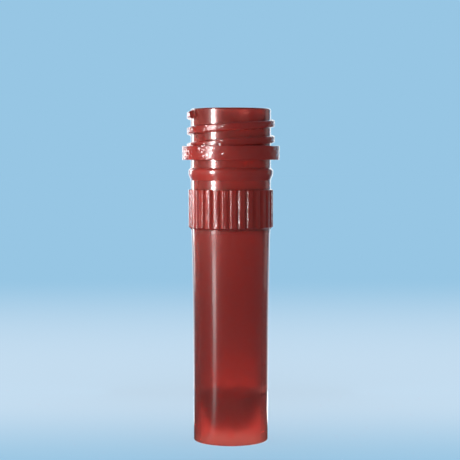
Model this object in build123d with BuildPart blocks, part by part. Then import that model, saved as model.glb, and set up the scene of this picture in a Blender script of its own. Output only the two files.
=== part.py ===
"""A 2 ml screw-neck microcentrifuge tube that stands on its own hollow skirt.

The real tube is one injection moulding. Each region of it is a solid of its own here, and
the regions meet face to face. The origin is at the middle of the foot, +Z runs up the
tube's axis and -Y is the side that faces whoever reads it. Lengths are in millimetres.
"""

import os
from math import cos, radians, tan

from build123d import *

# Neck and mouth
HEIGHT = 45.0
NECK_RADIUS = 5.4
NECK_BOTTOM = 28.25
NECK_BOTTOM_RADIUS = 5.34  # the neck tapers to this under the grip ribs
RIM_ROUNDING = 0.25
MOUTH_BORE_RADIUS = 4.55
SEAL_LAND = 3.0  # straight stretch of bore that a cap's plug seals in
MOUTH_CHAMFER = 0.15

# Cap thread: single start, right hand
THREAD_PITCH = 2.1
THREAD_RADIUS = 5.92
THREAD_ROOT_WIDTH = 1.15
THREAD_CREST_WIDTH = 0.8
THREAD_START_ANGLE = -230.0  # from +X, anticlockwise seen from above
THREAD_END_ANGLE = 561.0
THREAD_HEIGHT_AT_X = 40.91  # middle of the crest where it crosses +X
THREAD_SINK = 0.1  # the ridge is swept from this far inside the wall, then trimmed

# Collar
COLLAR_BOTTOM = 38.1
COLLAR_TOP = 39.97
COLLAR_RADIUS = 6.57
COLLAR_EDGE_ROUNDING = 0.06

# Retaining bead
BEAD_BOTTOM = 35.35
BEAD_CREST_BOTTOM = 36.15
BEAD_CREST_TOP = 36.72
BEAD_TOP = 37.0
BEAD_RADIUS = 5.72
BEAD_ROUNDING = 0.2

# Grip ribs
RIB_COUNT = 30
RIB_PHASE = 1.8  # degrees from -Y round to the nearest rib, towards +X
RIB_BOTTOM = 28.65
RIB_TOP = 34.2
RIB_RADIUS = 5.735
RIB_ROOT_RADIUS = 5.2  # each ridge is drawn from inside the wall, then trimmed
RIB_FLANK = 50.0  # degrees between a flank and the wall
RIB_CREST_ROUNDING = 0.18
RIB_BOTTOM_CHAMFER = 0.38
RIB_TOP_CHAMFER = 0.15

# Barrel and standing skirt
BARREL_TOP_RADIUS = 5.31
BARREL_KNEE = 20.5  # the barrel tapers faster above this height
BARREL_KNEE_RADIUS = 5.12
FOOT_RADIUS = 5.01
FOOT_ROUNDING = 0.12
SKIRT_BORE_RADIUS = 4.4
SKIRT_BORE_FLARE = 0.1  # how much wider the skirt's bore is at the foot

# Conical floor
FLOOR_JOIN = 8.0  # height where the barrel, the skirt and the floor meet
FLOOR_JOIN_BORE_RADIUS = 4.15
FLOOR_ROOT = 6.5  # height where the underside leaves the skirt
UNDERSIDE_KNEE = (2.9, 1.68)
UNDERSIDE_ROUNDING = 0.9
CAVITY_KNEE = (2.2, 1.95)
CAVITY_ROUNDING = 0.5
CAVITY_TIP = 1.5
UNDERSIDE_TIP = 0.75
PIP_RADIUS = 0.35  # mark of the injection gate
PIP_TIP = 0.42


def bore_radius(height):
    """Radius of the sample space, which widens from the floor to the seal land."""
    share = (height - FLOOR_JOIN) / (HEIGHT - SEAL_LAND - FLOOR_JOIN)
    return FLOOR_JOIN_BORE_RADIUS + share * (MOUTH_BORE_RADIUS - FLOOR_JOIN_BORE_RADIUS)


def outer_radius(height):
    """Radius of the barrel and the skirt below the knee in the taper."""
    return FOOT_RADIUS + height / BARREL_KNEE * (BARREL_KNEE_RADIUS - FOOT_RADIUS)


# Neck: the wall from the barrel to the mouth, with the rounded rim
with BuildPart() as neck:
    with BuildSketch(Plane.XZ) as neck_section:
        with BuildLine():
            Polyline(
                (bore_radius(NECK_BOTTOM), NECK_BOTTOM),
                (NECK_BOTTOM_RADIUS, NECK_BOTTOM),
                (NECK_RADIUS, RIB_TOP),
                (NECK_RADIUS, HEIGHT),
                (MOUTH_BORE_RADIUS, HEIGHT),
                (MOUTH_BORE_RADIUS, HEIGHT - SEAL_LAND),
                close=True,
            )
        make_face()
        fillet(neck_section.vertices().group_by(Axis.Y)[-1].sort_by(Axis.X)[-1], radius=RIM_ROUNDING)
        chamfer(neck_section.vertices().group_by(Axis.Y)[-1].sort_by(Axis.X)[0], length=MOUTH_CHAMFER)
    revolve(axis=Axis.Z)
neck.part.label = "neck"

# Collar: the square ring that stops a cap
with BuildPart() as collar:
    with BuildSketch(Plane.XY.offset(COLLAR_BOTTOM)):
        Circle(COLLAR_RADIUS)
        Circle(NECK_RADIUS, mode=Mode.SUBTRACT)
    extrude(amount=COLLAR_TOP - COLLAR_BOTTOM)
    outer_edges = collar.edges().filter_by(GeomType.CIRCLE).sort_by(SortBy.RADIUS)[-2:]
    fillet(outer_edges, radius=COLLAR_EDGE_ROUNDING)
collar.part.label = "collar"

# Cap thread: a trapezoid ridge swept up a helix, turned to its start and trimmed to the
# neck and to the collar's top, which its first half turn rises out of
ridge_height = THREAD_RADIUS - NECK_RADIUS
flank_run = (THREAD_ROOT_WIDTH - THREAD_CREST_WIDTH) / 2
sunk_half_width = THREAD_ROOT_WIDTH / 2 + flank_run * THREAD_SINK / ridge_height
thread_turns = (THREAD_END_ANGLE - THREAD_START_ANGLE) / 360
thread_start_height = THREAD_HEIGHT_AT_X + THREAD_PITCH * THREAD_START_ANGLE / 360
with BuildPart() as swept_ridge:
    with BuildLine(Plane.XY.offset(thread_start_height)):
        helix = Helix(pitch=THREAD_PITCH, height=thread_turns * THREAD_PITCH, radius=NECK_RADIUS)
    with BuildSketch(Plane(origin=helix @ 0, x_dir=(1, 0, 0), z_dir=helix % 0)):
        with BuildLine():
            Polyline(
                (-THREAD_SINK, -sunk_half_width),
                (ridge_height, -THREAD_CREST_WIDTH / 2),
                (ridge_height, THREAD_CREST_WIDTH / 2),
                (-THREAD_SINK, sunk_half_width),
                close=True,
            )
        make_face()
    sweep(path=helix, is_frenet=True)
with BuildPart() as cap_thread:
    add(swept_ridge.part, rotation=(0, 0, THREAD_START_ANGLE))
    with BuildSketch(Plane.XY.offset(COLLAR_BOTTOM)):
        Circle(NECK_RADIUS)
    extrude(amount=HEIGHT - COLLAR_BOTTOM, mode=Mode.SUBTRACT)
    with BuildSketch(Plane.XY.offset(COLLAR_BOTTOM)):
        Circle(COLLAR_RADIUS)
    extrude(amount=COLLAR_TOP - COLLAR_BOTTOM, mode=Mode.SUBTRACT)
cap_thread.part.label = "cap_thread"

# Retaining bead: a snap ring with a rounded crest and the longer slope below it
with BuildPart() as retaining_bead:
    with BuildSketch(Plane.XZ) as bead_section:
        with BuildLine():
            Polyline(
                (NECK_RADIUS, BEAD_BOTTOM),
                (BEAD_RADIUS, BEAD_CREST_BOTTOM),
                (BEAD_RADIUS, BEAD_CREST_TOP),
                (NECK_RADIUS, BEAD_TOP),
                close=True,
            )
        make_face()
        fillet(bead_section.vertices().group_by(Axis.X)[-1], radius=BEAD_ROUNDING)
    revolve(axis=Axis.Z)
retaining_bead.part.label = "retaining_bead"

# Grip ribs: one rounded ridge repeated round the neck, kept where it stands on the wall
rib_tip = RIB_RADIUS + RIB_CREST_ROUNDING * (1 / cos(radians(RIB_FLANK)) - 1)
rib_root_half_width = (rib_tip - RIB_ROOT_RADIUS) / tan(radians(RIB_FLANK))
neck_taper = (NECK_RADIUS - NECK_BOTTOM_RADIUS) / (RIB_TOP - NECK_BOTTOM)
rib_foot_radius = NECK_BOTTOM_RADIUS + neck_taper * (RIB_BOTTOM - NECK_BOTTOM)
with BuildSketch() as rib_outline:
    with BuildLine():
        Polyline(
            (RIB_ROOT_RADIUS, -rib_root_half_width),
            (rib_tip, 0),
            (RIB_ROOT_RADIUS, rib_root_half_width),
            close=True,
        )
    make_face()
    fillet(rib_outline.vertices().sort_by(Axis.X)[-1], radius=RIB_CREST_ROUNDING)
with BuildPart() as grip_ribs:
    with BuildSketch(Plane.XY.offset(RIB_BOTTOM)):
        with PolarLocations(0, RIB_COUNT, start_angle=RIB_PHASE - 90):
            add(rib_outline.sketch)
    extrude(amount=RIB_TOP - RIB_BOTTOM)
    with BuildSketch(Plane.XZ):
        with BuildLine():
            Polyline(
                (rib_foot_radius, RIB_BOTTOM),
                (RIB_RADIUS + RIB_TOP_CHAMFER, RIB_BOTTOM + RIB_BOTTOM_CHAMFER + RIB_TOP_CHAMFER),
                (RIB_RADIUS + RIB_TOP_CHAMFER, RIB_TOP - 2 * RIB_TOP_CHAMFER),
                (RIB_RADIUS - RIB_TOP_CHAMFER, RIB_TOP),
                (NECK_RADIUS, RIB_TOP),
                close=True,
            )
        make_face()
    revolve(axis=Axis.Z, mode=Mode.INTERSECT)
grip_ribs.part.label = "grip_ribs"

# Barrel: the tapered body wall
with BuildPart() as barrel:
    with BuildSketch(Plane.XZ):
        with BuildLine():
            Polyline(
                (FLOOR_JOIN_BORE_RADIUS, FLOOR_JOIN),
                (outer_radius(FLOOR_JOIN), FLOOR_JOIN),
                (BARREL_KNEE_RADIUS, BARREL_KNEE),
                (BARREL_TOP_RADIUS, NECK_BOTTOM),
                (bore_radius(NECK_BOTTOM), NECK_BOTTOM),
                close=True,
            )
        make_face()
    revolve(axis=Axis.Z)
barrel.part.label = "barrel"

# Standing skirt: the hollow ring that the tube stands on
with BuildPart() as standing_skirt:
    with BuildSketch(Plane.XZ) as skirt_section:
        with BuildLine():
            Polyline(
                (SKIRT_BORE_RADIUS + SKIRT_BORE_FLARE, 0),
                (FOOT_RADIUS, 0),
                (outer_radius(FLOOR_JOIN), FLOOR_JOIN),
                (SKIRT_BORE_RADIUS, FLOOR_JOIN),
                (SKIRT_BORE_RADIUS, FLOOR_ROOT),
                close=True,
            )
        make_face()
        fillet(skirt_section.vertices().group_by(Axis.Y)[0], radius=FOOT_ROUNDING)
    revolve(axis=Axis.Z)
standing_skirt.part.label = "standing_skirt"

# Conical floor: the hanging bottom of the sample space, with the gate's pip under it
underside_slope = (UNDERSIDE_KNEE[1] - UNDERSIDE_TIP) / UNDERSIDE_KNEE[0]
with BuildPart() as conical_floor:
    with BuildSketch(Plane.XZ) as floor_section:
        with BuildLine():
            Polyline(
                (0, PIP_TIP),
                (PIP_RADIUS, PIP_TIP),
                (PIP_RADIUS, UNDERSIDE_TIP + PIP_RADIUS * underside_slope),
                UNDERSIDE_KNEE,
                (SKIRT_BORE_RADIUS, FLOOR_ROOT),
                (SKIRT_BORE_RADIUS, FLOOR_JOIN),
                (FLOOR_JOIN_BORE_RADIUS, FLOOR_JOIN),
                CAVITY_KNEE,
                (0, CAVITY_TIP),
                close=True,
            )
        make_face()
        fillet(floor_section.vertices().sort_by_distance(CAVITY_KNEE)[0], radius=CAVITY_ROUNDING)
        fillet(floor_section.vertices().sort_by_distance(UNDERSIDE_KNEE)[0], radius=UNDERSIDE_ROUNDING)
    revolve(axis=Axis.Z)
conical_floor.part.label = "conical_floor"

regions = [
    neck,
    cap_thread,
    collar,
    retaining_bead,
    grip_ribs,
    barrel,
    conical_floor,
    standing_skirt,
]
os.makedirs("parts", exist_ok=True)
for region in regions:
    export_step(region.part, f"parts/{region.part.label}.step")
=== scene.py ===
"""Looks of a screw-neck microcentrifuge tube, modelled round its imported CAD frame.

The tube is one moulding in translucent brown-red polypropylene. Its wall, conical floor and
skirt are one seamless shell, and the cap thread, collar, retaining bead and grip ribs are
pieces that stand on it with their feet sunk a little way into the wall.
"""

import math

import bmesh
import bpy
from bpy.props import FloatProperty, FloatVectorProperty, IntProperty, PointerProperty
from bpy.types import Operator, Panel, PropertyGroup
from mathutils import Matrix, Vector


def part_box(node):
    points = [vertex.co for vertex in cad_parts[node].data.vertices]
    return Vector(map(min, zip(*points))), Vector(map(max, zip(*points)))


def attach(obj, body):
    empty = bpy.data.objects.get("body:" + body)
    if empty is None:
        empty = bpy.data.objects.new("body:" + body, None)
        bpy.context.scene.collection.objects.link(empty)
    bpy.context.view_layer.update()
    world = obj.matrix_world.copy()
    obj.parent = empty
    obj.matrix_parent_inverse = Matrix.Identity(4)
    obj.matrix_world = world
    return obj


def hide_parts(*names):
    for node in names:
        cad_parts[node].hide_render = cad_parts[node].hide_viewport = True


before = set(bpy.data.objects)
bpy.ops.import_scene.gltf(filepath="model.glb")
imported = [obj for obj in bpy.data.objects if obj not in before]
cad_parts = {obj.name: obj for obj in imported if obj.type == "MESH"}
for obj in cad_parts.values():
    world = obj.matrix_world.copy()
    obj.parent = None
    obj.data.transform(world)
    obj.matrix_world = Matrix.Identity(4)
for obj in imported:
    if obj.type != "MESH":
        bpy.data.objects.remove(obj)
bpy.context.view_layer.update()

bl_info = {
    "name": "Screw-neck micro tube",
    "version": (1, 0, 0),
    "blender": (4, 5, 0),
    "location": "3D View > Sidebar > Micro tube",
    "description": "Models a skirted 2 ml micro tube with its cap thread, collar, bead and ribs",
    "category": "Object",
}

MM = 0.001
FULL_TURN = 2 * math.pi
BODY = "root"
PIECE_NAMES = ("tube_wall", "collar_ring", "snap_bead", "grip_rib_ring", "cap_thread_ridge")
WELD = 0.001 * MM
SAME_PLACE = 0.01 * MM
EVERY_RAY = ("diffuse", "glossy", "transmission")
KEY_AZIMUTH = 48.8


def node_radius(node):
    """Outer radius of a CAD node that is round about Z."""
    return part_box(node)[1].x


def node_heights(node):
    """Lowest and highest point of a CAD node."""
    low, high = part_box(node)
    return low.z, high.z


NECK_BOTTOM, TUBE_TOP = node_heights("neck")
COLLAR_BOTTOM, COLLAR_TOP = node_heights("collar")
BEAD_BOTTOM, BEAD_TOP = node_heights("retaining_bead")
RIBS_BOTTOM, RIBS_TOP = node_heights("grip_ribs")
FLOOR_BOTTOM, FLOOR_JOIN = node_heights("conical_floor")
NECK_RADIUS = node_radius("neck")


def linear(hex_colour):
    """sRGB hex to the linear colour that shaders take."""
    channels = [int(hex_colour[i : i + 2], 16) / 255 for i in (1, 3, 5)]
    return [c / 12.92 if c <= 0.04045 else ((c + 0.055) / 1.055) ** 2.4 for c in channels] + [1.0]


# Settings


class TubeSizes(PropertyGroup):
    """Sizes of the moulding that its CAD boxes don't give, and how finely it is divided."""

    segments: IntProperty(
        name="Segments", description="Divisions round the wall", default=192, min=24
    )
    bore: FloatProperty(
        name="Mouth bore", description="Radius of the seal land",
        default=4.55 * MM, unit="LENGTH",
    )
    rim_rounding: FloatProperty(
        name="Rim rounding", description="Outer edge of the mouth",
        default=0.25 * MM, unit="LENGTH",
    )
    sink: FloatProperty(
        name="Sink", description="How far trim is sunk into the wall",
        default=0.04 * MM, unit="LENGTH",
    )


class TubeColours(PropertyGroup):
    """Pigment of the plastic, as it reads in a thin and in a thick section."""

    wall: FloatVectorProperty(
        name="Wall", description="Tint of light that crosses the thin wall",
        subtype="COLOR", size=4, min=0.0, max=1.0, default=linear("#c45d52"),
    )
    trim: FloatVectorProperty(
        name="Trim", description="Deeper tint of the thick collar, bead, ribs and thread",
        subtype="COLOR", size=4, min=0.0, max=1.0, default=linear("#bc483f"),
    )


# Modelling helpers


def begin_point(name, place):
    """Starts a piece in edit mode as one point."""
    bpy.ops.object.select_all(action="DESELECT")
    bpy.ops.mesh.primitive_plane_add(size=MM, location=(0, 0, 0))
    piece = bpy.context.active_object
    piece.name = piece.data.name = name
    bpy.ops.object.mode_set(mode="EDIT")
    bpy.ops.mesh.select_all(action="SELECT")
    bpy.ops.mesh.merge(type="CENTER")
    bpy.ops.transform.translate(value=place)
    return piece


def extrude_by(step):
    """Extrudes the selection by a step in X, Y and Z."""
    bpy.ops.mesh.extrude_region_move(TRANSFORM_OT_translate={"value": step})


def begin_outline(name, start):
    """Starts a piece as the first point of its outline, given as radius and height."""
    return begin_point(name, (start[0], 0, start[1]))


def draw_to(points, start):
    """Extrudes the selected point along an outline of radius and height pairs."""
    for here, there in zip([start, *points], points):
        extrude_by((there[0] - here[0], 0, there[1] - here[1]))


def select_points(piece, test):
    """Selects the vertices of a piece in edit mode that pass a test of their place."""
    bpy.ops.mesh.select_mode(type="VERT")
    bpy.ops.mesh.select_all(action="DESELECT")
    mesh = bmesh.from_edit_mesh(piece.data)
    for vert in mesh.verts:
        vert.select_set(test(vert.co))
    mesh.select_flush_mode()
    bmesh.update_edit_mesh(piece.data)


def round_corner(piece, corner, setback, segments=6):
    """Rounds one corner of an outline, starting a set distance back from it."""
    place = Vector((corner[0], 0, corner[1]))
    select_points(piece, lambda co: (co - place).length < SAME_PLACE)
    bpy.ops.mesh.bevel(offset=setback, segments=segments, affect="VERTICES")


def turn_about_axis(angle):
    """Turns the selection about the tube's axis."""
    bpy.ops.transform.rotate(value=angle, orient_axis="Z", center_override=(0, 0, 0))


def turn_outline(segments):
    """Spins the whole outline about the tube's axis and closes it."""
    bpy.ops.mesh.select_all(action="SELECT")
    bpy.ops.mesh.spin(steps=segments, angle=FULL_TURN, center=(0, 0, 0), axis=(0, 0, 1))
    bpy.ops.mesh.select_all(action="SELECT")
    bpy.ops.mesh.remove_doubles(threshold=WELD)
    bpy.ops.mesh.normals_make_consistent(inside=False)


def finish_piece(piece, material, nodes, sharp_angle=35.0):
    """Leaves edit mode, smooths the shading and hands the piece to the frame."""
    bpy.ops.object.mode_set(mode="OBJECT")
    bpy.ops.object.shade_smooth_by_angle(angle=math.radians(sharp_angle))
    bpy.ops.object.modifier_add(type="WEIGHTED_NORMAL")
    piece.modifiers[-1].keep_sharp = True
    bpy.ops.object.modifier_apply(modifier=piece.modifiers[-1].name)
    piece.data.materials.clear()
    piece.data.materials.append(material)
    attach(piece, BODY)
    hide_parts(*nodes)


# Materials


def add_node(tree, kind, links=None, **settings):
    """Adds a shader node, sets its sockets and properties by name, and links sockets to it."""
    node = tree.nodes.new(kind)
    for name, value in settings.items():
        socket_name = name.replace("_", " ")
        if socket_name in node.inputs:
            node.inputs[socket_name].default_value = value
        else:
            setattr(node, name, value)
    for name, source in (links or {}).items():
        tree.links.new(source, node.inputs[name])
    return node


def set_ramp(node, stops):
    """Gives a colour ramp node its stops, as pairs of position and linear colour."""
    elements = node.color_ramp.elements
    while len(elements) > 1:
        elements.remove(elements[-1])
    elements[0].position, elements[0].color = stops[0]
    for position, colour in stops[1:]:
        elements.new(position).color = colour


def new_material(name):
    """An empty material and its node tree."""
    material = bpy.data.materials.new(name)
    material.use_nodes = True
    material.node_tree.nodes.clear()
    return material, material.node_tree


def eroded_grain(tree, cell, tilt):
    """Normals tilted cell by cell, like the tiny flats that spark erosion leaves."""
    coordinates = add_node(tree, "ShaderNodeTexCoord")
    surface = add_node(tree, "ShaderNodeNewGeometry")
    cells = add_node(
        tree, "ShaderNodeTexVoronoi", links={"Vector": coordinates.outputs["Object"]},
        Scale=1 / cell,
    )
    centred = add_node(
        tree, "ShaderNodeVectorMath", links={0: cells.outputs["Color"]}, operation="SUBTRACT"
    )
    centred.inputs[1].default_value = (0.5, 0.5, 0.5)
    scaled = add_node(
        tree, "ShaderNodeVectorMath", links={0: centred.outputs[0]},
        operation="SCALE", Scale=tilt,
    )
    tilted = add_node(
        tree, "ShaderNodeVectorMath",
        links={0: surface.outputs["Normal"], 1: scaled.outputs[0]}, operation="ADD",
    )
    unit = add_node(
        tree, "ShaderNodeVectorMath", links={0: tilted.outputs[0]}, operation="NORMALIZE"
    )
    return unit.outputs[0]


def polypropylene(name, tint, haze, scatter, skin_roughness, grain_tilt=0.0):
    """Translucent polypropylene: light crosses it tinted, and the rest scatters inside it.

    haze is the share that scatters, over a mean distance of scatter. The coat is the moulded
    skin, which takes its finish from the steel.
    """
    if name in bpy.data.materials:
        return bpy.data.materials[name]
    material, tree = new_material(name)
    links = {}
    if grain_tilt:
        # Real erosion grain is about 0.05 mm; this is the finest that still shows.
        grain = 0.22 * MM
        links["Coat Normal"] = eroded_grain(tree, grain, grain_tilt)
    plastic = add_node(
        tree, "ShaderNodeBsdfPrincipled", links=links,
        Base_Color=tint, Roughness=0.27, IOR=1.49, Specular_IOR_Level=0.3,
        Transmission_Weight=1 - haze,
        Subsurface_Weight=1.0, Subsurface_Scale=scatter, Subsurface_Radius=(1.0, 0.35, 0.3),
        Coat_Weight=1.0, Coat_Roughness=skin_roughness, Coat_IOR=1.49,
    )
    add_node(tree, "ShaderNodeOutputMaterial", links={"Surface": plastic.outputs["BSDF"]})
    return material


def polished_wall(colours):
    """Thin wall off polished steel: clear enough to glow from behind, with sharp highlights."""
    return polypropylene(
        "pp_moulded_on_polished_steel", colours.wall,
        haze=0.22, scatter=0.8 * MM, skin_roughness=0.05,
    )


def polished_trim(colours):
    """Thick bead off polished steel: the same gloss over a milkier, deeper red."""
    return polypropylene(
        "pp_bead_on_polished_steel", colours.trim,
        haze=0.5, scatter=0.3 * MM, skin_roughness=0.05,
    )


def eroded_trim(colours):
    """Thick trim off spark-eroded steel: highlights break up into glitter."""
    return polypropylene(
        "pp_moulded_on_eroded_steel", colours.trim,
        haze=0.45, scatter=0.3 * MM, skin_roughness=0.14, grain_tilt=0.45,
    )


# Pieces


class MICROTUBE_OT_wall(Operator):
    """Model the wall, conical floor and standing skirt as one seamless shell"""

    bl_idname = "microtube.wall"
    bl_label = "Wall, floor and skirt"

    def execute(self, context):
        sizes, colours = context.scene.tube_sizes, context.scene.tube_colours
        start = (0, 1.5 * MM)
        inside_knee = (2.2 * MM, 1.95 * MM)
        mouth = (sizes.bore, TUBE_TOP)
        rim = (NECK_RADIUS, TUBE_TOP)
        taper_change = (5.12 * MM, 20.5 * MM)
        outer_foot = (5.01 * MM, 0)
        inner_foot = (4.5 * MM, 0)
        skirt_root = (4.4 * MM, 6.5 * MM)
        underside_knee = (2.9 * MM, 1.68 * MM)
        step_low = (5.31 * MM, NECK_BOTTOM)
        step_high = (5.34 * MM, NECK_BOTTOM + 0.03 * MM)
        seal_land = 3 * MM
        gate_radius = 0.35 * MM
        outline = [
            inside_knee,
            (4.15 * MM, FLOOR_JOIN),
            (sizes.bore, TUBE_TOP - seal_land),
            mouth,
            rim,
            (NECK_RADIUS, RIBS_TOP),
            step_high,
            step_low,
            taper_change,
            outer_foot,
            inner_foot,
            skirt_root,
            underside_knee,
            (gate_radius, 0.86 * MM),
            (gate_radius, FLOOR_BOTTOM),
            (0, FLOOR_BOTTOM),
        ]
        wall = begin_outline("tube_wall", start)
        draw_to(outline, start)
        round_corner(wall, inside_knee, 0.5 * MM)
        round_corner(wall, mouth, 0.15 * MM, segments=3)
        round_corner(wall, rim, sizes.rim_rounding)
        round_corner(wall, taper_change, 3.5 * MM, segments=12)
        round_corner(wall, outer_foot, 0.15 * MM, segments=4)
        round_corner(wall, inner_foot, 0.12 * MM, segments=4)
        round_corner(wall, skirt_root, 0.3 * MM)
        round_corner(wall, underside_knee, 0.6 * MM)
        turn_outline(sizes.segments)
        nodes = ("neck", "barrel", "conical_floor", "standing_skirt")
        finish_piece(wall, polished_wall(colours), nodes)
        return {"FINISHED"}


class MICROTUBE_OT_collar(Operator):
    """Model the square ring that stops the cap"""

    bl_idname = "microtube.collar"
    bl_label = "Collar"

    def execute(self, context):
        sizes, colours = context.scene.tube_sizes, context.scene.tube_colours
        inner = NECK_RADIUS - sizes.sink
        outer = node_radius("collar")
        start = (inner, COLLAR_BOTTOM)
        edge_rounding = 0.08 * MM
        low, high = (outer, COLLAR_BOTTOM), (outer, COLLAR_TOP)
        collar = begin_outline("collar_ring", start)
        draw_to([low, high, (inner, COLLAR_TOP), start], start)
        round_corner(collar, low, edge_rounding, segments=3)
        round_corner(collar, high, edge_rounding, segments=3)
        turn_outline(sizes.segments)
        finish_piece(collar, eroded_trim(colours), ("collar",))
        return {"FINISHED"}


class MICROTUBE_OT_bead(Operator):
    """Model the rounded snap bead under the collar"""

    bl_idname = "microtube.bead"
    bl_label = "Retaining bead"

    def execute(self, context):
        sizes, colours = context.scene.tube_sizes, context.scene.tube_colours
        inner = NECK_RADIUS - sizes.sink
        outer = node_radius("retaining_bead")
        start = (inner, BEAD_BOTTOM)
        lower_slope, upper_slope = 0.8 * MM, 0.28 * MM
        low, high = (outer, BEAD_BOTTOM + lower_slope), (outer, BEAD_TOP - upper_slope)
        bead = begin_outline("snap_bead", start)
        foot, head = (NECK_RADIUS, BEAD_BOTTOM), (NECK_RADIUS, BEAD_TOP)
        draw_to([foot, low, high, head, (inner, BEAD_TOP), start], start)
        round_corner(bead, low, 0.25 * MM)
        round_corner(bead, high, 0.16 * MM)
        turn_outline(sizes.segments)
        finish_piece(bead, polished_trim(colours), ("retaining_bead",))
        return {"FINISHED"}


class MICROTUBE_OT_ribs(Operator):
    """Model one flat-topped grip rib and repeat it round the neck"""

    bl_idname = "microtube.ribs"
    bl_label = "Grip ribs"

    def execute(self, context):
        colours = context.scene.tube_colours
        count = 30
        phase = math.radians(3.3)
        half_pitch = math.pi / count
        half_crest = math.radians(3.0)
        crest = node_radius("grip_ribs")
        groove = crest - 0.28 * MM
        root = NECK_RADIUS - 0.09 * MM
        crest_rounding = 0.09 * MM
        bottom_slope, top_slope = 0.38 * MM, 0.15 * MM
        lift = RIBS_TOP - RIBS_BOTTOM
        middle = RIBS_BOTTOM + lift / 2
        outline = [
            (radius * math.cos(angle), radius * math.sin(angle))
            for radius, angle in (
                (root, -half_pitch), (groove, -half_pitch), (crest, -half_crest),
                (crest, -half_crest / 3), (crest, half_crest / 3),
                (crest, half_crest), (groove, half_pitch), (root, half_pitch),
            )
        ]
        ribs = begin_point("grip_rib_ring", (*outline[0], RIBS_BOTTOM))
        for here, there in zip(outline, outline[1:]):
            extrude_by((there[0] - here[0], there[1] - here[1], 0))
        edge = crest * math.sin(half_crest)
        select_points(ribs, lambda co: abs(abs(co.y) - edge) < SAME_PLACE and co.x > groove)
        bpy.ops.mesh.bevel(offset=crest_rounding, segments=5, affect="VERTICES")
        bpy.ops.mesh.select_all(action="SELECT")
        bpy.ops.mesh.edge_face_add()
        extrude_by((0, 0, lift))
        select_points(ribs, lambda co: co.z < middle and co.x > NECK_RADIUS)
        bpy.ops.transform.translate(value=(0, 0, bottom_slope))
        select_points(ribs, lambda co: co.z > middle and co.x > NECK_RADIUS)
        bpy.ops.transform.translate(value=(0, 0, -top_slope))
        bpy.ops.mesh.select_all(action="SELECT")
        turn_about_axis(math.pi / 2 - phase)
        bpy.ops.mesh.spin(
            steps=count, dupli=True, angle=FULL_TURN, center=(0, 0, 0), axis=(0, 0, 1)
        )
        bpy.ops.mesh.select_all(action="SELECT")
        bpy.ops.mesh.remove_doubles(threshold=WELD)
        bpy.ops.mesh.select_mode(type="FACE")
        bpy.ops.mesh.select_all(action="DESELECT")
        bpy.ops.mesh.select_interior_faces()
        bpy.ops.mesh.delete(type="FACE")
        bpy.ops.mesh.select_mode(type="VERT")
        bpy.ops.mesh.select_all(action="SELECT")
        bpy.ops.mesh.normals_make_consistent(inside=False)
        finish_piece(
            ribs, eroded_trim(colours), ("grip_ribs",),
            sharp_angle=40.0,
        )
        return {"FINISHED"}


class MICROTUBE_OT_thread(Operator):
    """Model the cap thread as a ridge wound up the neck"""

    bl_idname = "microtube.thread"
    bl_label = "Cap thread"

    def execute(self, context):
        sizes, colours = context.scene.tube_sizes, context.scene.tube_colours
        pitch = 2.1 * MM
        height_at_zero = 40.91 * MM
        start_angle, end_angle = math.radians(-230), math.radians(561)
        turns = (end_angle - start_angle) / FULL_TURN
        crest = node_radius("cap_thread")
        inner = NECK_RADIUS - sizes.sink
        middle = height_at_zero + pitch * start_angle / FULL_TURN
        root_half, crest_half = 0.585 * MM, 0.4 * MM
        crest_rounding = 0.1 * MM
        start = (inner, middle - root_half)
        low, high = (crest, middle - crest_half), (crest, middle + crest_half)
        thread = begin_outline("cap_thread_ridge", start)
        draw_to([low, high, (inner, middle + root_half), start], start)
        round_corner(thread, low, crest_rounding, segments=4)
        round_corner(thread, high, crest_rounding, segments=4)
        bpy.ops.mesh.select_all(action="SELECT")
        bpy.ops.mesh.remove_doubles(threshold=WELD)
        turn_about_axis(-start_angle)
        bpy.ops.object.mode_set(mode="OBJECT")
        bpy.ops.object.modifier_add(type="SCREW")
        screw = thread.modifiers[-1]
        screw.angle = turns * FULL_TURN
        screw.screw_offset = turns * pitch
        screw.steps = screw.render_steps = int(sizes.segments * turns)
        screw.use_merge_vertices = False
        bpy.ops.object.modifier_apply(modifier=screw.name)
        bpy.ops.object.mode_set(mode="EDIT")
        bpy.ops.mesh.select_mode(type="EDGE")
        bpy.ops.mesh.select_all(action="DESELECT")
        bpy.ops.mesh.select_non_manifold()
        bpy.ops.mesh.edge_face_add()
        bpy.ops.mesh.select_all(action="SELECT")
        bpy.ops.mesh.normals_make_consistent(inside=False)
        finish_piece(thread, eroded_trim(colours), ("cap_thread",))
        return {"FINISHED"}


# Stage

PALE_BLUE = linear("#97c6e4")


def grade(tree, axis, low, high, stops, easing="LINEAR"):
    """A colour ramp along one object axis between two places."""
    coordinates = add_node(tree, "ShaderNodeTexCoord")
    split = add_node(
        tree, "ShaderNodeSeparateXYZ", links={"Vector": coordinates.outputs["Object"]}
    )
    place = add_node(
        tree, "ShaderNodeMapRange", links={"Value": split.outputs[axis]},
        From_Min=low, From_Max=high,
    )
    ramp = add_node(tree, "ShaderNodeValToRGB", links={"Fac": place.outputs["Result"]})
    set_ramp(ramp, stops)
    ramp.color_ramp.interpolation = easing
    return ramp.outputs["Color"]


def grey(value):
    """A neutral linear colour."""
    return (value, value, value, 1.0)


def diffuser(name, radiance, axis=None, span=None, shares=None):
    """The glowing face of a soft light, even or graded along one axis by shares of itself."""
    material, tree = new_material(name)
    links = {}
    if shares:
        stops = [(place, grey(share)) for place, share in shares]
        links["Color"] = grade(tree, axis, *span, stops)
    glow = add_node(tree, "ShaderNodeEmission", links=links, Strength=radiance)
    add_node(tree, "ShaderNodeOutputMaterial", links={"Surface": glow.outputs["Emission"]})
    return material


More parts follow.
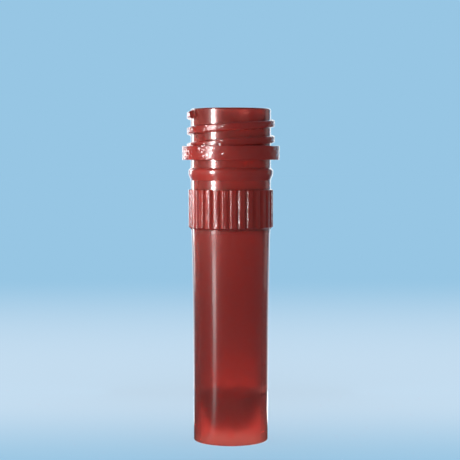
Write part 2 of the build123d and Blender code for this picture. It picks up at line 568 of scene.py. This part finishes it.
def lights_only(card, tube, rays):
    """Makes a card a light for the tube alone, met by the named kinds of ray."""
    card.visible_camera = card.visible_shadow = False
    for kind in EVERY_RAY:
        setattr(card, "visible_" + kind, kind in rays)
    card.light_linking.receiver_collection = tube


def standing_card(name, azimuth, distance, heights, width, face, tube, rays):
    """An upright light facing the tube, at an azimuth in degrees from -Y towards -X."""
    low, high = heights
    bpy.ops.mesh.primitive_plane_add(size=1, location=(0, 0, 0))
    card = bpy.context.active_object
    card.name = card.data.name = name
    bpy.ops.object.mode_set(mode="EDIT")
    bpy.ops.mesh.select_all(action="SELECT")
    bpy.ops.transform.resize(value=(width, high - low, 1))
    bpy.ops.transform.rotate(value=-math.pi / 2, orient_axis="X", center_override=(0, 0, 0))
    bpy.ops.transform.translate(value=(0, -distance, (low + high) / 2))
    turn_about_axis(math.radians(azimuth))
    bpy.ops.object.mode_set(mode="OBJECT")
    card.data.materials.append(face)
    lights_only(card, tube, rays)


def add_table():
    """A wide pale-blue table that glows, with a painted pool of light: a brighter band behind the
    tube.
    """
    bpy.ops.object.select_all(action="DESELECT")
    bpy.ops.mesh.primitive_plane_add(size=6.0, location=(0, 0, 0))
    table = bpy.context.active_object
    table.name = "shooting_table"
    acrylic, tree = new_material("backlit_acrylic")
    # Painted pool of light: a paler band in the table's glow just behind the tube, easing back to
    # pale blue
    painted_light_band = linear("#cbe1f3")
    stops = [(0.06, PALE_BLUE), (0.2, painted_light_band), (0.28, painted_light_band), (0.8, PALE_BLUE)]
    colour = grade(tree, "Y", -50 * MM, 350 * MM, stops, "EASE")
    glow = add_node(tree, "ShaderNodeEmission", links={"Color": colour}, Strength=0.85)
    matt = add_node(tree, "ShaderNodeBsdfDiffuse", Color=grey(0.15))
    both = add_node(
        tree, "ShaderNodeAddShader", links={0: glow.outputs[0], 1: matt.outputs[0]}
    )
    add_node(tree, "ShaderNodeOutputMaterial", links={"Surface": both.outputs[0]})
    table.data.materials.append(acrylic)


def add_world(scene):
    """Even pale-blue light, the colour of the far table, which hides its edge in front view."""
    world = bpy.data.worlds.new("studio")
    scene.world = world
    world.use_nodes = True
    background = world.node_tree.nodes["Background"]
    background.inputs["Color"].default_value = PALE_BLUE
    background.inputs["Strength"].default_value = 1.0


def add_strips(tube):
    """Tall soft lights whose edges draw the bright lines down the tube."""
    key_top, rear_top = 75 * MM, 120 * MM
    key = diffuser(
        "key_diffuser", radiance=30.0, axis="Z", span=(0, key_top),
        shares=[(0.0, 0.03), (0.13, 0.1), (0.19, 0.15), (0.24, 0.15), (0.3, 0.03),
                (0.35, 0.2), (0.38, 1.0), (1.0, 1.0)],
    )
    standing_card(
        "front_left_strip", KEY_AZIMUTH, distance=55 * MM, heights=(0.5 * MM, key_top),
        width=10.6 * MM, face=key, tube=tube, rays=("glossy", "transmission"),
    )
    rear = diffuser(
        "rear_diffuser", radiance=7.5, axis="Z", span=(0, rear_top),
        shares=[(0.0, 0.1), (0.1, 0.3), (0.16, 1.0), (1.0, 1.0)],
    )
    rim = diffuser("rim_diffuser", radiance=0.35)
    for name, azimuth, width, face in (
        ("rear_left_strip", 140.0, 30 * MM, rear),
        ("rear_right_strip", 232.0, 60 * MM, rim),
    ):
        standing_card(
            name, azimuth, distance=200 * MM, heights=(0, rear_top),
            width=width, face=face, tube=tube, rays=EVERY_RAY,
        )


def add_soft_cards(tube):
    """Close soft lights: one behind the wall, and fills in front of the neck and the skirt."""
    back_top = 60 * MM
    back = diffuser(
        "back_diffuser", radiance=3.0, axis="Z", span=(0, back_top),
        shares=[(0.0, 0.5), (0.06, 0.42), (0.2, 0.3), (0.35, 0.33), (0.5, 0.55), (1.0, 0.6)],
    )
    standing_card(
        "back_card", azimuth=180.0, distance=40 * MM, heights=(0.2 * MM, back_top),
        width=40 * MM, face=back, tube=tube, rays=EVERY_RAY,
    )
    neck, skirt = (27 * MM, 46 * MM), (1 * MM, 9 * MM)
    for name, azimuth, heights, radiance in (
        ("neck_fill", 55.0, neck, 5.0),
        ("front_fill", -18.0, neck, 1.1),
        ("skirt_fill", 0.0, skirt, 2.5),
    ):
        standing_card(
            name, azimuth, distance=18 * MM, heights=heights, width=14 * MM,
            face=diffuser(name + "_diffuser", radiance), tube=tube, rays=("diffuse",),
        )


def add_foot_glow(tube):
    """The brighter part of the table round the foot, which makes the skirt glow."""
    front, back = -4.6 * MM, 40 * MM
    low = diffuser(
        "low_diffuser", radiance=5.0, axis="Y", span=(front, back),
        shares=[(0.0, 0.17), (0.2, 0.25), (0.3, 0.4), (0.42, 0.55), (0.7, 0.85), (1.0, 0.85)],
    )
    bpy.ops.mesh.primitive_plane_add(size=1, location=(0, 0, 0))
    patch = bpy.context.active_object
    patch.name = patch.data.name = "table_glow"
    bpy.ops.object.mode_set(mode="EDIT")
    bpy.ops.transform.resize(value=(24 * MM, back - front, 1))
    bpy.ops.transform.translate(value=(3 * MM, (front + back) / 2, 0.05 * MM))
    bpy.ops.object.mode_set(mode="OBJECT")
    patch.data.materials.append(low)
    lights_only(patch, tube, rays=("glossy", "transmission"))

    bpy.ops.mesh.primitive_circle_add(
        vertices=48, radius=4.3 * MM, fill_type="NGON", location=(0, 0, 0)
    )
    disc = bpy.context.active_object
    disc.name = disc.data.name = "foot_glow"
    bpy.ops.object.mode_set(mode="EDIT")
    bpy.ops.transform.translate(value=(0, 0, 0.04 * MM))
    bpy.ops.object.mode_set(mode="OBJECT")
    disc.data.materials.append(diffuser("foot_diffuser", radiance=14.0))
    lights_only(disc, tube, rays=("diffuse", "glossy"))


def add_lane(tube):
    """A tapered glow on the table that carries the key's highlight down to the foot."""
    bpy.ops.mesh.primitive_plane_add(size=1, location=(0, 0, 0))
    lane = bpy.context.active_object
    lane.name = lane.data.name = "front_left_lane"
    bpy.ops.object.mode_set(mode="EDIT")
    bpy.ops.transform.resize(value=(10 * MM, 48 * MM, 1))
    bpy.ops.transform.translate(value=(0, -31 * MM, 0.15 * MM))
    select_points(lane, lambda co: co.y > -20 * MM)
    bpy.ops.transform.resize(value=(0.15, 1, 1))
    bpy.ops.mesh.select_all(action="SELECT")
    turn_about_axis(math.radians(KEY_AZIMUTH))
    bpy.ops.object.mode_set(mode="OBJECT")
    face = diffuser(
        "lane_diffuser", radiance=2.0, axis="Y", span=(-36 * MM, -4 * MM),
        shares=[(0.0, 1.0), (0.4, 0.7), (0.7, 0.35), (1.0, 0.1)],
    )
    lane.data.materials.append(face)
    lights_only(lane, tube, rays=("glossy",))


def add_black_flags():
    """Black cloth round and over the tube, open behind, to keep pale reflections off it."""
    radius, height, half_gap = 0.35, 0.5, math.radians(31)
    cloth, tree = new_material("black_cloth")
    matt = add_node(tree, "ShaderNodeBsdfDiffuse", Color=grey(0.0))
    add_node(tree, "ShaderNodeOutputMaterial", links={"Surface": matt.outputs[0]})
    bpy.ops.mesh.primitive_cylinder_add(
        vertices=72, radius=radius, depth=height, end_fill_type="TRIFAN", location=(0, 0, 0)
    )
    flags = bpy.context.active_object
    flags.name = flags.data.name = "black_flags"
    bpy.ops.object.mode_set(mode="EDIT")
    bpy.ops.transform.translate(value=(0, 0, height / 2 + 0.1 * MM))
    gap_side = radius * math.cos(half_gap)
    select_points(flags, lambda co: co.y > gap_side)
    bpy.ops.mesh.delete(type="VERT")
    bpy.ops.object.mode_set(mode="OBJECT")
    flags.data.materials.append(cloth)
    flags.visible_camera = flags.visible_shadow = False
    flags.visible_diffuse = flags.visible_transmission = False


def add_camera(scene):
    """A long lens level with the collar, looking slightly down."""
    sideways, distance = -0.11 * MM, 193 * MM
    bpy.ops.object.camera_add(location=(sideways, -distance, 38.1 * MM))
    camera = bpy.context.active_object
    camera.data.lens = 111.5
    camera.data.clip_start, camera.data.clip_end = 0.01, 20
    aim = Vector((sideways, 0, 28.6 * MM))
    camera.rotation_euler = (aim - camera.location).to_track_quat("-Z", "Y").to_euler()
    scene.camera = camera
    scene.view_settings.view_transform = "Standard"


class MICROTUBE_OT_stage(Operator):
    """Set the pale floor, the studio lights and the camera"""

    bl_idname = "microtube.stage"
    bl_label = "Stage"

    def execute(self, context):
        tube = bpy.data.collections.new("tube_only")
        for name in PIECE_NAMES:
            if name not in context.scene.objects:
                raise RuntimeError("Model every piece before the stage")
            tube.objects.link(context.scene.objects[name])
        add_table()
        add_world(context.scene)
        add_strips(tube)
        add_soft_cards(tube)
        add_foot_glow(tube)
        add_lane(tube)
        add_black_flags()
        add_camera(context.scene)
        return {"FINISHED"}


class VIEW3D_PT_microtube(Panel):
    """Lists the tube's pieces and sizes in the sidebar"""

    bl_label = "Micro tube"
    bl_space_type = "VIEW_3D"
    bl_region_type = "UI"
    bl_category = "Micro tube"

    def draw(self, context):
        column = self.layout.column()
        for group in (context.scene.tube_sizes, context.scene.tube_colours):
            for name in group.bl_rna.properties.keys():
                if name not in ("rna_type", "name"):
                    column.prop(group, name)
        for operator in PIECES:
            column.operator(operator.bl_idname)


PIECES = (
    MICROTUBE_OT_wall,
    MICROTUBE_OT_collar,
    MICROTUBE_OT_bead,
    MICROTUBE_OT_ribs,
    MICROTUBE_OT_thread,
    MICROTUBE_OT_stage,
)
CLASSES = (TubeSizes, TubeColours, *PIECES, VIEW3D_PT_microtube)


def register():
    for cls in CLASSES:
        bpy.utils.register_class(cls)
    bpy.types.Scene.tube_sizes = PointerProperty(type=TubeSizes)
    bpy.types.Scene.tube_colours = PointerProperty(type=TubeColours)


def unregister():
    del bpy.types.Scene.tube_sizes
    del bpy.types.Scene.tube_colours
    for cls in reversed(CLASSES):
        bpy.utils.unregister_class(cls)


def main():
    register()
    bpy.ops.microtube.wall()
    bpy.ops.microtube.collar()
    bpy.ops.microtube.bead()
    bpy.ops.microtube.ribs()
    bpy.ops.microtube.thread()
    bpy.ops.microtube.stage()


if __name__ == "__main__":
    main()
